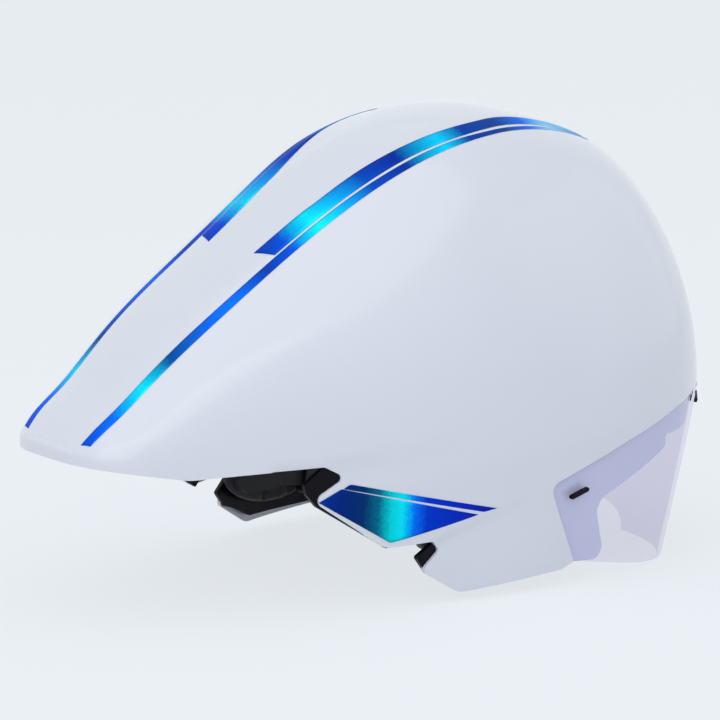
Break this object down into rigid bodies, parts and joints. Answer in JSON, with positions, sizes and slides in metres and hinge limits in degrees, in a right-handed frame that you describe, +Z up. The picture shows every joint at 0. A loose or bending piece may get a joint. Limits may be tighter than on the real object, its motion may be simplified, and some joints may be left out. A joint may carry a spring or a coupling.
{
  "type": "aero time trial helmet",
  "caption": "Long-tailed hard-shell cycling helmet with a clear magnetic visor over the eye port, a foam liner, stowed chin straps and a dial-drawn head cradle.",
  "frame": {"origin": "under the middle of the helmet, at the level of the visor's lowest edge", "axes": "+X to the front of the helmet, +Y to the wearer's left, +Z up"},
  "size_m": [0.3572, 0.204, 0.2242],
  "materials": {
    "shell": "glossy white, with blue foil graphics",
    "lens": "clear polycarbonate with a faint violet tint",
    "pod_plastic": "satin black",
    "magnet": "nickel plated",
    "liner_foam": "moulded foam, dark grey",
    "pad_fabric": "soft wicking cloth over foam, black",
    "black_plastic": "satin black",
    "frame_plastic": "satin black",
    "band_plastic": "flexible nylon, black",
    "knob_rubber": "soft grip, dark grey",
    "steel": "plain steel",
    "webbing": "woven webbing, black"
  },
  "bodies": {
    "helmet": {"band_guide_left": "black_plastic", "band_guide_right": "black_plastic", "brow_pad": "pad_fabric", "buckle_female": "black_plastic", "buckle_male": "black_plastic", "chin_strap_left": "webbing", "chin_strap_right": "webbing", "crown_pad_left": "pad_fabric", "crown_pad_right": "pad_fabric", "ear_pad_left": "pad_fabric", "ear_pad_right": "pad_fabric", "front_strap_left": "webbing", "front_strap_right": "webbing", "height_rail": "black_plastic", "impact_liner": "liner_foam", "outer_shell": "shell", "rear_strap_left": "webbing", "rear_strap_right": "webbing", "side_frame_left": "frame_plastic", "side_frame_right": "frame_plastic", "side_pad_left": "pad_fabric", "side_pad_right": "pad_fabric", "strap_anchors": "black_plastic", "strap_divider_left": "black_plastic", "strap_divider_right": "black_plastic", "visor_magnets": "magnet"},
    "visor": {"visor_lens": "lens", "visor_pods": "pod_plastic"},
    "cradle": {"cradle_yoke": "black_plastic", "cradle_pad_left": "pad_fabric", "cradle_pad_right": "pad_fabric", "dial_housing": "black_plastic"},
    "dial": {"dial_cover": "black_plastic", "dial_knob": "knob_rubber", "dial_pinion": "black_plastic", "dial_screw": "steel"},
    "left_band": {"band_left": "band_plastic"},
    "right_band": {"band_right": "band_plastic"}
  },
  "joints": [
    {"name": "visor_lift", "type": "slide", "parent": "helmet", "child": "visor", "axis": [1, 0, 0], "range_m": [0, 0.06]},
    {"name": "cradle_height", "type": "slide", "parent": "helmet", "child": "cradle", "axis": [0, 0, 1], "range_m": [-0.01, 0]},
    {"name": "dial_turn", "type": "hinge", "parent": "cradle", "child": "dial", "pos_m": [-0.045, 0, 0.076], "axis": [1, 0, 0], "range_deg": [0, 200]},
    {"name": "band_left_draw", "type": "hinge", "parent": "cradle", "child": "left_band", "pos_m": [0.0301, 0, 0.076], "axis": [0, 0, 1], "range_deg": [0, 13]},
    {"name": "band_right_draw", "type": "hinge", "parent": "cradle", "child": "right_band", "pos_m": [0.0301, 0, 0.076], "axis": [0, 0, 1], "range_deg": [-13.3, 0]}
  ],
  "couplings": [
    {"joint": "band_left_draw", "follows": "dial_turn", "ratio": 0.06409},
    {"joint": "band_right_draw", "follows": "dial_turn", "ratio": -0.06566}
  ]
}
